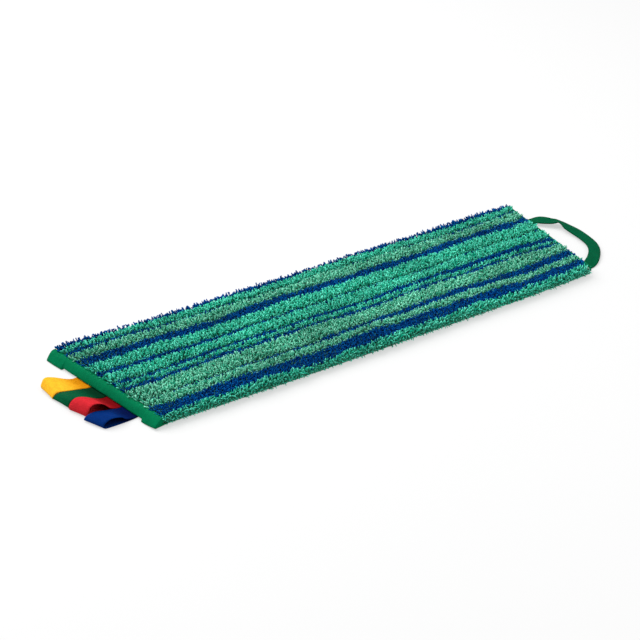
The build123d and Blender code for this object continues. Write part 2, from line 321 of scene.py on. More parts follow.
def tape_material(name, colour, shadow, warp, weft, roughness=0.7, ribbon=False):
    """Woven tape or ribbon: fine threads with painted shade between them and, on a ribbon, near its sewn-in
    ends, with a slightly uneven dye.
    """
    material, tree, shader = new_material(name, roughness, 0.0)
    surface = node(tree, "ShaderNodeUVMap", {"uv_map": "cloth"})
    place = node(tree, "ShaderNodeTexCoord")
    weave = use_group(
        tree, WEAVE, {"Warp Pitch": warp, "Weft Pitch": weft}, {"UV": surface.outputs["UV"]}
    )
    fibre = use_group(
        tree, FIBRE, {"Fibre Scale": 2200.0, "Patch Scale": 60.0}, {"Vector": place.outputs["Object"]}
    )
    # painted shade: the shadow colour mixed in down between the threads
    depth = math_node(tree, "MULTIPLY", weave.outputs["Valley"], 0.35 if ribbon else 0.45)
    # on ribbons, painted shade also darkens the ribbon near its sewn-in ends
    if ribbon:
        depth = math_node(tree, "MAXIMUM", depth, painted_end_shade(tree, surface.outputs["UV"]))
    woven = mix_colour(tree, depth, (*colour, 1), (*shadow, 1))
    slubs = remap(tree, weave.outputs["Slub"], (0.25, 0.75), (0.86, 1.1))
    patches = remap(tree, fibre.outputs["Patch"], (0.3, 0.7), (0.93, 1.05))
    dye(tree, shader, woven, math_node(tree, "MULTIPLY", slubs, patches))
    relief = math_node(tree, "MULTIPLY_ADD", fibre.outputs["Height"], 0.35)
    tree.links.new(weave.outputs["Height"], relief.node.inputs[2])
    bump(tree, shader, relief, 0.5, 0.00025)
    return material


def fleece_material(name, colour, shadow, scale, strength):
    """Brushed, knitted or needled cloth: a mat of fine curls with painted shade down between them, and soft
    patches.
    """
    material, tree, shader = new_material(name, 0.95, 0.3)
    place = node(tree, "ShaderNodeTexCoord")
    fibre = use_group(
        tree, FIBRE, {"Fibre Scale": scale, "Patch Scale": 45.0}, {"Vector": place.outputs["Object"]}
    )
    curls = node(
        tree, "ShaderNodeTexVoronoi", {"Scale": scale * 0.45}, {"Vector": place.outputs["Object"]}
    )
    height = math_node(tree, "MULTIPLY", fibre.outputs["Height"], curls.outputs["Distance"])
    # painted shade: the shadow colour where the curls are low
    curls_with_painted_shade = mix_colour(tree, remap(tree, height, (0.05, 0.35)), (*shadow, 1), (*colour, 1))
    dye(tree, shader, curls_with_painted_shade, remap(tree, fibre.outputs["Patch"], (0.3, 0.7), (0.88, 1.06)))
    bump(tree, shader, height, strength, 0.0006)
    return material


# Each pile colour: the painted shade at the roots, the body, then the painted highlight at the tips
PILE = {
    "blue": yarn_material("pile_blue", (0.0, 0.002, 0.022), (0.0, 0.022, 0.15), (0.002, 0.12, 0.37)),
    "mint": yarn_material("pile_mint", (0.0, 0.028, 0.018), (0.002, 0.33, 0.20), (0.17, 0.88, 0.66)),
    "sage": yarn_material("pile_sage", (0.001, 0.032, 0.018), (0.016, 0.30, 0.175), (0.31, 0.82, 0.61)),
}
BINDING_TAPE = tape_material("binding_tape", (0.0, 0.136, 0.054), (0.0, 0.045, 0.018), 0.0007, 0.0009)
HANGING_TAPE = tape_material("hanging_tape", (0.0, 0.073, 0.029), (0.0, 0.024, 0.010), 0.0007, 0.0009)
# Each ribbon's colour, and its shadow colour: painted shade between the threads and near the sewn-in ends
RIBBON_DYES = {
    "yellow": ((0.82, 0.42, 0.022), (0.44, 0.15, 0.0)),
    "green": ((0.0, 0.072, 0.028), (0.0, 0.018, 0.006)),
    "red": ((0.53, 0.018, 0.027), (0.11, 0.0, 0.001)),
    "blue": ((0.0, 0.021, 0.135), (0.0, 0.002, 0.035)),
}
RIBBONS = {
    name: tape_material(f"ribbon_{name}", colour, shadow, 0.0004, 0.0005, 0.6, ribbon=True)
    for name, (colour, shadow) in RIBBON_DYES.items()
}
THREAD = tape_material("thread", (0.01, 0.20, 0.09), (0.0, 0.08, 0.03), 0.0003, 0.0003, 0.5)
GROUND = fleece_material("ground_cloth", (0.02, 0.20, 0.11), (0.004, 0.06, 0.03), 1500.0, 0.6)
FLEECE = fleece_material("loop_fleece", (0.72, 0.74, 0.73), (0.42, 0.44, 0.43), 900.0, 0.9)
WADDING = fleece_material("wadding", (0.80, 0.81, 0.79), (0.5, 0.5, 0.48), 700.0, 0.8)


# ---------------------------------------------------------------- mesh helpers

def add_object(name, mesh, material=None):
    made = bpy.data.objects.new(name, mesh)
    scene.collection.objects.link(made)
    if material is not None:
        mesh.materials.clear()
        mesh.materials.append(material)
    return made


def place_on_pad(piece, slot, *replaced):
    """Hides the nodes that a piece stands for; it moves with the pad. The slot is not used."""
    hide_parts(*replaced)
    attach(piece, "pad")


def loft(name, rings, material):
    """Skins a closed tube through rings of points, by extruding the first ring along the others.

    The UV map "cloth" is in metres: x round the ring, y along the rings.
    """
    bm = bmesh.new()
    first = [bm.verts.new(point) for point in rings[0]]
    count = len(first)
    ring_edges = [bm.edges.new((first[i], first[(i + 1) % count])) for i in range(count)]
    order = {vert: (0, i) for i, vert in enumerate(first)}
    current = first
    start_cap = bmesh.ops.edgenet_fill(bm, edges=ring_edges)["faces"]
    for row, ring in enumerate(rings[1:], start=1):
        grown = bmesh.ops.extrude_edge_only(bm, edges=ring_edges)["geom"]
        ring_edges = []
        following = [None] * count
        fresh = {item for item in grown if isinstance(item, bmesh.types.BMVert)}
        for vert in current:
            for edge in vert.link_edges:
                other = edge.other_vert(vert)
                if other in fresh:
                    following[order[vert][1]] = other
        for i, vert in enumerate(following):
            vert.co = ring[i]
            order[vert] = (row, i)
        ring_edges = [item for item in grown if isinstance(item, bmesh.types.BMEdge)
                      and item.verts[0] in fresh and item.verts[1] in fresh]
        current = following
    end_cap = bmesh.ops.edgenet_fill(bm, edges=ring_edges)["faces"]
    caps = set(start_cap) | set(end_cap)
    bmesh.ops.recalc_face_normals(bm, faces=bm.faces[:])
    girth = [0.0]
    for i in range(count):
        step = Vector(rings[len(rings) // 2][(i + 1) % count]) - Vector(rings[len(rings) // 2][i])
        girth.append(girth[-1] + step.length)
    run = [0.0]
    for before, after in zip(rings[:-1], rings[1:]):
        run.append(run[-1] + (Vector(after[0]) - Vector(before[0])).length)
    uv = bm.loops.layers.uv.new("cloth")
    for face in bm.faces:
        places = [order[loop.vert][1] for loop in face.loops]
        wraps = face not in caps and max(places) - min(places) > 1
        for loop in face.loops:
            row, i = order[loop.vert]
            i = count if wraps and i == 0 else i
            loop[uv].uv = (girth[i], run[row])
        face.smooth = face not in caps
    mesh = bpy.data.meshes.new(name)
    bm.to_mesh(mesh)
    bm.free()
    return add_object(name, mesh, material)


def smooth_through(points, count):
    """Evenly spaced points on a smooth curve through the given ones."""
    given = np.array(points, float)
    padded = np.vstack([2 * given[0] - given[1], given, 2 * given[-1] - given[-2]])
    fine = []
    for i in range(1, len(padded) - 2):
        a, b, c, d = padded[i - 1 : i + 3]
        for t in np.linspace(0, 1, 24, endpoint=False):
            fine.append(
                0.5 * (2 * b + (c - a) * t + (2 * a - 5 * b + 4 * c - d) * t**2
                       + (3 * b - a - 3 * c + d) * t**3)
            )
    fine = np.vstack([fine, given[-1]])
    step = np.linalg.norm(np.diff(fine[:, :3], axis=0), axis=1)
    run = np.concatenate([[0], np.cumsum(step)])
    even = np.linspace(0, run[-1], count)
    return np.stack([np.interp(even, run, fine[:, k]) for k in range(fine.shape[1])], axis=1)


def strip_outline(path, thickness):
    """Closed outline of a thin strip: one side of its middle line, then back along the other."""
    path = np.array(path, float)
    tangent = np.gradient(path, axis=0)
    tangent /= np.linalg.norm(tangent, axis=1)[:, None]
    normal = np.stack([-tangent[:, 1], tangent[:, 0]], axis=1) * thickness / 2
    return np.vstack([path + normal, (path - normal)[::-1]])


# ---------------------------------------------------------------- scattered pieces

PLY_FLATNESS = 0.62  # two plies side by side are wider one way than the other
YARN_TWIST = 0.9  # turn of the plies from one ring of the yarn to the next


def yarn_shape(name, length, bend, thickness, steps=5, sides=4):
    """One tuft: two-ply yarn, twisting as it rises and curling over by `bend` towards +X."""
    bm = bmesh.new()
    tip = bm.verts.layers.float.new("tip")
    made = bmesh.ops.create_circle(bm, cap_ends=True, segments=sides, radius=thickness / 2)
    bmesh.ops.scale(bm, vec=(1.0, PLY_FLATNESS, 1.0), verts=made["verts"])
    ring = bm.edges[:]
    centre = Vector((0, 0, 0))
    angle = 0.0
    for step in range(1, steps + 1):
        grown = bmesh.ops.extrude_edge_only(bm, edges=ring)["geom"]
        verts = [item for item in grown if isinstance(item, bmesh.types.BMVert)]
        fresh = set(verts)
        ring = [item for item in grown if isinstance(item, bmesh.types.BMEdge)
                and item.verts[0] in fresh and item.verts[1] in fresh]
        heading = Vector((math.sin(angle), 0, math.cos(angle)))
        bmesh.ops.translate(bm, vec=heading * length / steps, verts=verts)
        centre = centre + heading * length / steps
        turn = Matrix.Rotation(bend / steps, 3, "Y") @ Matrix.Rotation(YARN_TWIST, 3, heading)
        bmesh.ops.rotate(bm, cent=centre, matrix=turn, verts=verts)
        angle += bend / steps
        swell = {1: 1.1, steps: 0.78}.get(step, 1.0)
        bmesh.ops.scale(bm, vec=(swell,) * 3, space=Matrix.Translation(-centre), verts=verts)
        for vert in verts:
            vert[tip] = step / steps
    bmesh.ops.edgenet_fill(bm, edges=ring)
    bmesh.ops.recalc_face_normals(bm, faces=bm.faces[:])
    for face in bm.faces:
        face.smooth = True
    mesh = bpy.data.meshes.new(name)
    bm.to_mesh(mesh)
    bm.free()
    return bpy.data.objects.new(name, mesh)


def stitch_shape(name, length, width):
    """One lockstitch along Y: a short round-ended bar of thread, pulled down at both ends."""
    bm = bmesh.new()
    bmesh.ops.create_icosphere(bm, subdivisions=1, radius=width / 2)
    bmesh.ops.scale(bm, vec=(1.0, length / width, 0.8), verts=bm.verts[:])
    for face in bm.faces:
        face.smooth = True
    mesh = bpy.data.meshes.new(name)
    bm.to_mesh(mesh)
    bm.free()
    return bpy.data.objects.new(name, mesh)


def shape_collection(name, shapes):
    collection = bpy.data.collections.new(name)
    for shape in shapes:
        collection.objects.link(shape)
    return collection


def scatter_group():
    """Puts one shape of a collection on every point, turned and sized by the point's attributes."""
    group = bpy.data.node_groups.new("scatter_shapes", "GeometryNodeTree")
    group.interface.new_socket("Geometry", in_out="INPUT", socket_type="NodeSocketGeometry")
    shapes = group.interface.new_socket("Shapes", in_out="INPUT", socket_type="NodeSocketCollection")
    group.interface.new_socket("Geometry", in_out="OUTPUT", socket_type="NodeSocketGeometry")
    given = group.nodes.new("NodeGroupInput")
    result = group.nodes.new("NodeGroupOutput")
    info = group.nodes.new("GeometryNodeCollectionInfo")
    info.inputs["Separate Children"].default_value = True
    info.inputs["Reset Children"].default_value = True
    group.links.new(given.outputs["Shapes"], info.inputs["Collection"])
    copies = group.nodes.new("GeometryNodeInstanceOnPoints")
    copies.inputs["Pick Instance"].default_value = True
    group.links.new(given.outputs["Geometry"], copies.inputs["Points"])
    group.links.new(info.outputs[0], copies.inputs["Instance"])
    for attribute, kind, target in (
        ("turn", "FLOAT_VECTOR", "Rotation"),
        ("size", "FLOAT_VECTOR", "Scale"),
        ("pick", "INT", "Instance Index"),
    ):
        reader = group.nodes.new("GeometryNodeInputNamedAttribute")
        reader.data_type = kind
        reader.inputs["Name"].default_value = attribute
        group.links.new(reader.outputs["Attribute"], copies.inputs[target])
    real = group.nodes.new("GeometryNodeRealizeInstances")
    group.links.new(copies.outputs["Instances"], real.inputs["Geometry"])
    group.links.new(real.outputs["Geometry"], result.inputs["Geometry"])
    return group, shapes.identifier


SCATTER, SHAPES_SOCKET = scatter_group()


def scatter(name, collection, places, turns, sizes, picks, shades, material):
    """A mesh of many copies of a collection's shapes, one at each place."""
    seeds = bpy.data.meshes.new(name + "_places")
    seeds.vertices.add(len(places))
    seeds.vertices.foreach_set("co", np.asarray(places, np.float32).ravel())
    for label, kind, key, values in (
        ("turn", "FLOAT_VECTOR", "vector", turns),
        ("size", "FLOAT_VECTOR", "vector", sizes),
        ("pick", "INT", "value", picks),
        ("shade", "FLOAT", "value", shades),
    ):
        attribute = seeds.attributes.new(label, kind, "POINT")
        data = np.asarray(values, np.int32 if kind == "INT" else np.float32)
        attribute.data.foreach_set(key, data.ravel())
    holder = add_object(name + "_seeds", seeds)
    modifier = holder.modifiers.new("scatter", "NODES")
    modifier.node_group = SCATTER
    modifier[SHAPES_SOCKET] = collection
    graph = bpy.context.evaluated_depsgraph_get()
    mesh = bpy.data.meshes.new_from_object(holder.evaluated_get(graph))
    mesh.name = name
    bpy.data.objects.remove(holder)
    bpy.data.meshes.remove(seeds)
    return add_object(name, mesh, material)


def euler_of_lean(lean, spin):
    """Euler angles that spin a tuft about its root, then lean it over by the 2-D vector `lean`."""
    angle = np.linalg.norm(lean, axis=1) + 1e-9
    kx, ky = -lean[:, 1] / angle, lean[:, 0] / angle
    c, s = np.cos(angle), np.sin(angle)
    v = 1 - c
    tilt = np.empty((len(lean), 3, 3))
    tilt[:, 0] = np.stack([c + kx * kx * v, kx * ky * v, ky * s], 1)
    tilt[:, 1] = np.stack([kx * ky * v, c + ky * ky * v, -kx * s], 1)
    tilt[:, 2] = np.stack([-ky * s, kx * s, c], 1)
    cs, sn = np.cos(spin), np.sin(spin)
    zero, one = np.zeros_like(cs), np.ones_like(cs)
    turn = np.stack(
        [np.stack([cs, -sn, zero], 1), np.stack([sn, cs, zero], 1), np.stack([zero, zero, one], 1)], 1
    )
    r = tilt @ turn
    return np.stack(
        [
            np.arctan2(r[:, 2, 1], r[:, 2, 2]),
            -np.arcsin(np.clip(r[:, 2, 0], -1, 1)),
            np.arctan2(r[:, 1, 0], r[:, 0, 0]),
        ],
        axis=1,
    )


# ---------------------------------------------------------------- pile

TUFT_THICKNESS = 1.04 * MM
TUFT_SPACING = 1.42 * MM
TUFT_LENGTH = {"blue": 3.4 * MM, "mint": 5.0 * MM, "sage": 4.8 * MM}
TUFT_BENDS = (0.3, 0.7, 1.1, 1.6, -0.5)  # how far each shape of tuft curls over, in radians
SIDE_TUFT_SHARE = 0.6  # tufts on the sides stand less high, and lean less at random
ROOT_DEPTH = 0.3 * MM  # how deep a tuft is rooted in the face cloth
SIDE_LEVEL_PITCH = 1.3 * MM
WIDE_ROW = 9 * MM  # deeper inside a row than any tuft is
ROW_NODES = sorted(name for name in frame["nodes"] if name.startswith("pile_row"))
# Each blue row's share of its nominal width: at the tab end, in the middle and at the loop end
BLUE_SPREAD = {
    0: (1.9, 1.5, 1.9),
    2: (2.5, 0.6, 1.8),
    4: (1.25, 1.15, 1.05),
    6: (2.4, 1.2, 0.9),
    8: (1.05, 1.1, 1.75),
    10: (1.45, 1.15, 1.15),
    12: (0.4, 1.2, 2.5),
    14: (1.25, 1.2, 0.85),
}
rng = np.random.default_rng(208)


def wander(row, x):
    """Sideways wander of a blue row's middle line: three waves, each shorter and weaker."""
    phase = 1.7 * (row // 4) + 0.1 * row
    return MM * (
        1.0 * np.sin(x / 0.034 + phase) + 0.7 * np.sin(x / 0.017 + 2.3 * phase)
        + 0.4 * np.sin(x / 0.0071 + 3.1 * phase)
    )


def blue_edges(row, x):
    """Edges of a blue row at x: the one towards +Y, then the one towards -Y."""
    low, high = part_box(ROW_NODES[row])
    middle = (low.y + high.y) / 2
    half = (high.y - low.y) / 2
    spread = np.interp(x / PILE_HALF_LENGTH, (-1, 0, 1), BLUE_SPREAD[row])
    ragged = 0.12 * np.sin(x / 0.0043 + row) + 0.12 * np.sin(x / 0.0107 + 2.0 * row)
    half = half * (spread + ragged)
    middle = middle + wander(row, x) - 0.3 * MM
    return middle + half, middle - half


def row_of(x, y):
    """Which row of pile each point belongs to."""
    row = np.full(len(x), len(ROW_NODES) - 1)
    for blue in sorted(BLUE_SPREAD, reverse=True):
        high, low = blue_edges(blue, x)
        if blue == 0:
            high = np.full_like(high, 2 * PILE_HALF_WIDTH)
        row[y > low] = blue
        row[y > high] = blue - 1
    return row


def top_points():
    """Roots on top of the base cloth, on a jittered grid that is cut back at the loop end's -Y corner."""
    across = np.arange(-CLOTH_HALF_WIDTH + 0.4 * MM, CLOTH_HALF_WIDTH, TUFT_SPACING)
    down = np.arange(-half_length(CLOTH_HALF_WIDTH), half_length(CLOTH_HALF_WIDTH), TUFT_SPACING)
    x, y = (grid.ravel() for grid in np.meshgrid(down, across))
    x = x + np.where(np.round(y / TUFT_SPACING) % 2 == 0, 0, TUFT_SPACING / 2)
    x = x + rng.uniform(-0.42, 0.42, len(x)) * TUFT_SPACING
    y = y + rng.uniform(-0.42, 0.42, len(y)) * TUFT_SPACING
    corner_cut = np.where(x > 0, 4 * MM * ramp(-y, 50 * MM, 20 * MM) ** 2, 0)
    keep = (np.abs(x) < half_length(y) - 0.4 * MM - corner_cut) & (np.abs(y) < CLOTH_HALF_WIDTH)
    return x[keep], y[keep]


def side_points(side):
    """Roots on the side of the pad, from the top edge down to the hem."""
    levels = np.arange(CLOTH_TOP - 0.4 * MM, HEM_BOTTOM + 0.8 * MM, -SIDE_LEVEL_PITCH)
    down = np.arange(-half_length(CLOTH_HALF_WIDTH), half_length(CLOTH_HALF_WIDTH), TUFT_SPACING)
    x, z = (grid.ravel() for grid in np.meshgrid(down, levels))
    x = x + rng.uniform(-0.5, 0.5, len(x)) * TUFT_SPACING
    z = z + rng.uniform(-0.4, 0.4, len(z)) * MM
    keep = np.abs(x) < half_length(side * CLOTH_HALF_WIDTH) - 0.5 * MM
    x, z = x[keep], z[keep]
    return x, np.full(len(x), side * (CLOTH_HALF_WIDTH - ROOT_DEPTH)), z


def ridge_profile(x, y, row):
    """How far inside its row each tuft stands, the way to the next blue row, and its share of height."""
    depth = np.full(len(x), WIDE_ROW)
    towards = np.zeros(len(x))
    broad = np.full(len(x), WIDE_ROW)
    for blue in BLUE_SPREAD:
        high, low = blue_edges(blue, x)
        for mine, gap, way in ((row == blue - 1, y - high, -1), (row == blue + 1, low - y, 1)):
            nearer = mine & (gap < depth)
            depth[nearer] = np.maximum(gap[nearer], 0)
            towards[nearer] = way
        inside = row == blue
        depth[inside] = np.minimum(high - y, y - low)[inside]
        broad[inside] = ((high - low) / 2)[inside]
    return depth, towards, np.clip(0.45 + broad / (6 * MM), 0.5, 1)


def tuft_leans(x, y, z, depth, towards, on_side):
    """How each tuft leans: at random, away from the ends, off the sides and over the blue rows."""
    lean = rng.normal(0, 0.20, (len(x), 2)) * np.where(on_side, SIDE_TUFT_SHARE, 1.0)[:, None]
    nap = 0.10 * np.sin(x / 0.05 + y / 0.03)
    lean[:, 0] += nap - 0.08
    from_end = half_length(y) - np.abs(x)
    reach_over = np.where(x > 0, 0.95, 0.8)
    lean[:, 0] += np.sign(x) * fade(from_end, 4.5 * MM) * reach_over
    from_side = CLOTH_HALF_WIDTH - np.abs(y)
    top_edge = fade(from_side, 4 * MM) * 0.7
    lean[:, 1] += np.sign(y) * np.where(on_side, 0, top_edge)
    sunk = np.clip((CLOTH_TOP - z) / (CLOTH_TOP - HEM_BOTTOM), 0, 1)
    lean[:, 1] += np.sign(y) * np.where(on_side, 0.8 + 0.65 * sunk, 0)
    lean[:, 1] += towards * fade(depth, 3 * MM) * 0.22
    return lean


def tuft_heights(x, y, row, depth, towards, row_share, on_side):
    """Each tuft's height as a share of its colour's length: uneven, lower beside blue rows and on sides."""
    swell = 1 + 0.07 * np.sin(x / 0.021 + y / 0.013) + rng.normal(0, 0.09, len(x))
    crown = 1 - 0.30 * fade(depth, 3.5 * MM) ** 2
    swell = swell * row_share * np.where(towards == 0, 1.0, crown)
    swell = swell * np.where(on_side, SIDE_TUFT_SHARE, 1.0)
    far_edge = (row == 0) & (y > 0)
    swell[far_edge] *= 1.45
    at_end_of_pad = fade(half_length(y) - np.abs(x), 4 * MM)
    return swell * (1 + np.where(x > 0, 0.10, 0.08) * at_end_of_pad)


def rest_on_floor(piece):
    """Tufts that would hang below the floor lie on it instead."""
    mesh = piece.data
    co = np.empty(len(mesh.vertices) * 3, np.float32)
    mesh.vertices.foreach_get("co", co)
    co = co.reshape(-1, 3)
    lowest = FLOOR + 0.1 * MM
    sunk = np.minimum(co[:, 2] - lowest, 0)
    co[:, 2] = np.maximum(co[:, 2], lowest) - 0.03 * sunk
    mesh.vertices.foreach_set("co", co.ravel())
    mesh.update()


def pile_row(name, places, turns, swell, picks, shades):
    """One row of pile, as one piece, from the places, turns and heights of its tufts."""
    colour = name.split("_")[-1]
    tufts = [
        yarn_shape(f"{name}_tuft_{i}", TUFT_LENGTH[colour], bend, TUFT_THICKNESS)
        for i, bend in enumerate(TUFT_BENDS)
    ]
    shapes = shape_collection(name + "_tuft_shapes", tufts)
    sizes = np.stack([swell ** 0.5, swell ** 0.5, swell], axis=1)
    piece = scatter(name + "_tufts", shapes, places, turns, sizes, picks, shades, PILE[colour])
    for shape in tufts:
        bpy.data.objects.remove(shape)
    bpy.data.collections.remove(shapes)
    rest_on_floor(piece)
    place_on_pad(piece, "pile_" + colour, name)


def pile():
    x, y = top_points()
    z = np.full(len(x), CLOTH_TOP - ROOT_DEPTH)
    on_side = np.zeros(len(x), bool)
    for side in (-1, 1):
        sx, sy, sz = side_points(side)
        x, y, z = np.append(x, sx), np.append(y, sy), np.append(z, sz)
        on_side = np.append(on_side, np.ones(len(sx), bool))
    row = np.where(on_side, np.where(y > 0, 0, len(ROW_NODES) - 1), row_of(x, y))
    depth, towards, row_share = ridge_profile(x, y, row)
    lean = tuft_leans(x, y, z, depth, towards, on_side)
    turns = euler_of_lean(lean, rng.uniform(0, math.tau, len(x)))
    swell = tuft_heights(x, y, row, depth, towards, row_share, on_side)
    picks = rng.integers(0, len(TUFT_BENDS), len(x))
    shades = rng.beta(0.9, 1.4, len(x))
    places = np.stack([x, lie(x, y), z], axis=1)
    for number, name in enumerate(ROW_NODES):
        mine = row == number
        pile_row(name, places[mine], turns[mine], swell[mine], picks[mine], shades[mine])


pile()


# ---------------------------------------------------------------- cloth layers

def base_cloth():
    """Face cloth, wrapped round both sides and hemmed under, as one bent sheet."""
    thickness = 1.0 * MM
    side = CLOTH_HALF_WIDTH - thickness / 2
    hem = side - HEM_WIDTH + thickness / 2
    top = CLOTH_TOP - thickness / 2
    bottom = HEM_BOTTOM + thickness / 2
    right = [(hem, bottom), (hem + 4 * MM, bottom), (side - 1.5 * MM, bottom), (side, bottom + 1.2 * MM),
             (side, top - 1.2 * MM), (side - 1.5 * MM, top), (side / 2, top)]
    left = [(-y, z) for y, z in reversed(right)]
    path = smooth_through(right + left, 70)
    outline = strip_outline(path, thickness)
    rings = []
    for t in np.linspace(-1, 1, 120):
        ripple = 0.12 * MM * math.sin(t * 61)
        ring = []
        for y, z in outline:
            x = t * half_length(y, TUCK - 0.5 * MM)
            ring.append((x, lie(x, y), z + (ripple if z < 0 else 0)))
        rings.append(ring)
    piece = loft("face_cloth", rings, GROUND)
    place_on_pad(piece, "ground_cloth", "base_cloth")


def layer(name, half_width, low, high, puff, material):
    """A flat layer of the pad, its faces slightly uneven."""
    past = TUCK - MM
    rings = []
    across = np.linspace(-1, 1, 50)
    for t in np.linspace(-1, 1, 130):
        lower = []
        upper = []
        for s in across:
            y = s * half_width
            x = t * half_length(y, past)
            swell = puff * math.sin(x / 0.011) * math.sin(y / 0.009 + x / 0.03) * (1 - abs(s) ** 8)
            lower.append((x, lie(x, y), low + abs(swell)))
            upper.append((x, lie(x, y), high + min(swell, 0)))
        rings.append(lower + upper[::-1])
    return loft(name, rings, material)


def inner_layers():
    low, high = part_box("absorbent_core")
    clear = 0.1 * MM
    core = layer("wadding", high.y - MM, low.z + clear, high.z - clear, 0.1 * MM, WADDING)
    place_on_pad(core, "wadding", "absorbent_core")
    low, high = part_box("loop_backing")
    backing = layer("loop_fabric", high.y - 0.5 * MM, low.z, high.z, 0.15 * MM, FLEECE)
    place_on_pad(backing, "loop_fleece", "loop_backing")


base_cloth()
inner_layers()


# ---------------------------------------------------------------- end bindings

TAPE = 1.0 * MM
CORNER_START = 50.6 * MM  # from here out, the hem under the tape thickens the pad
CORNER_STEP = MM  # the tape steps down over this length
BINDING_HALF_LENGTH = 71.2 * MM
TIP_ROUNDING = 1.6 * MM
BINDING_LIE = {-1: (1.03, 2.6 * MM), 1: (0.93, 4.4 * MM)}  # stretch and shift along each end
TOPSTITCH_PITCH = 5 * MM  # the seam pulls the tape in this often


def binding_path(corner, end):
    """Middle line of the tape round the cut end, in reach and height. corner goes from 0 to 1."""
    out = 1.6 * corner if end < 0 else -0.4  # the tab end's corners stand out further
    low = -TAPE / 2 / MM + corner * (FLOOR + TAPE) / MM
    top = CLOTH_TOP / MM + 0.6
    points = [
        (-0.4, top - 0.3), (0.8, top), (2.4, top - 0.1), (3.9 + 0.2 * out, top - 0.9),
        (5.4 + 0.5 * out, 3.2 - 0.5 * corner), (6.6 + 0.8 * out, 1.4 - 0.9 * corner),
        (7.2 + out, low + 0.65), (6.9 + out, low + 0.1), (5.4 + out, low), (0, low), (-7, low),
    ]
    return [(reach * MM, height * MM) for reach, height in points]


def binding_stations():
    """Places of the tape's sections along an end: close together at the corner steps and the tips."""
    shut = BINDING_HALF_LENGTH - TIP_ROUNDING
    tips = [shut + TIP_ROUNDING * math.sin(angle) for angle in np.linspace(0.25, math.pi / 2, 6)]
    side = [CORNER_START + step * MM for step in (-0.5, -0.2, 0.1, 0.4, 0.7)]
    side += list(np.linspace(CORNER_START + 1.5 * MM, shut, 14)) + tips
    middle_part = np.linspace(-CORNER_START + MM, CORNER_START - MM, 80)
    return np.concatenate([[-station for station in reversed(side)], middle_part, side])


def end_binding(name, end, node_name):
    """Tape folded round one cut end, wavy along its free edge, with a closed tip at each side."""
    last = BINDING_HALF_LENGTH
    shut = last - TIP_ROUNDING
    stretch, shift = BINDING_LIE[end]
    rings = []
    for station in binding_stations():
        s = station * stretch + shift
        tucked = ramp(-station, 52 * MM, 19 * MM) if end < 0 else 0.0
        s += 3.0 * MM * tucked
        corner = np.clip((abs(station) - CORNER_START + 0.5 * MM) / CORNER_STEP, 0, 1)
        path = smooth_through(binding_path(corner * corner * (3 - 2 * corner), end), 44)
        wave = 0.12 * MM * math.sin(s / 0.0032) + 0.15 * MM * math.sin(s / 0.011 + end)
        pull = 0.10 * MM * math.cos(s * math.tau / TOPSTITCH_PITCH)
        outline = strip_outline(path, TAPE * 0.95)
        closing = min(1.0, max(0.0, (abs(station) - shut) / (last - shut)))
        centre = np.array([2.5 * MM, outline[:, 1].mean()])
        outline = centre + (outline - centre) * max(0.12, math.sqrt(max(0.0, 1 - closing**2)))
        ring = []
        for reach, height in outline:
            upper = np.clip(height / CLOTH_TOP, 0, 1)
            out = reach + wave * (reach > 2 * MM)
            lift = 1.5 * MM * tucked**2 * (1 - upper)
            ring.append(at_end(end, out, s, height + lift + pull * upper * (reach < 5 * MM)))
        rings.append(ring)
    piece = loft(name, rings, BINDING_TAPE)
    place_on_pad(piece, "binding_tape", node_name)


end_binding("tab_end_tape", -1, "tab_end_binding")
end_binding("loop_end_tape", 1, "loop_end_binding")


# ---------------------------------------------------------------- colour tabs

RIBBON = 0.42 * MM
TAB_WIDTH = 19.4 * MM
JUST_OFF_FLOOR = FLOOR + 0.02 * MM
# Each ribbon's two edges, towards +Y and towards -Y: reach of the tip, place and height of the crest,
# all in mm, heights from the floor; then how far the tip leans towards +Y
TAB_FORMS = {
    "yellow": ((37.8, 32.5, 9.8), (40.4, 34.0, 5.8), 5.5),
    "green": ((40.0, 33.0, 5.2), (39.0, 34.0, 8.2), 5.8),
    "red": ((40.0, 32.0, 9.8), (36.2, 29.0, 11.2), 5.0),
    "blue": ((40.6, 31.5, 5.8), (36.4, 27.5, 7.4), 4.4),
}


def tab_offset(colour):
    """Place of a tab's middle along the tab end."""
    return (Vector(JOINTS[f"{colour}_tab_flip"]["pos_m"]) - at_end(-1, 0, 0, 0)).dot(TAB_ALONG)


def ribbon_edge(tip, crest, rise):
    """One edge of a folded ribbon in reach and height: out over the crest, round the fold, back."""
    points = [
        (1.2, 1.02), (6.0, 1.02), (9.2, 1.05), (12.5, 1.6), (17.5, 1.8 + 0.17 * rise),
        (crest - 6.5, 0.2 + 0.76 * rise), (crest, rise), (0.45 * crest + 0.55 * tip, 0.90 * rise),
        (tip - 1.0, 0.62 * rise), (tip, 0.34 * rise), (tip - 0.7, 0.9), (tip - 3.0, 0.28),
        (tip - 9.0, 0.24), (19.0, 0.30), (12.0, 0.5), (9.2, 0.6), (6.0, 0.6), (1.2, 0.6),
    ]
    return smooth_through([(reach * MM, FLOOR + height * MM) for reach, height in points], 130)


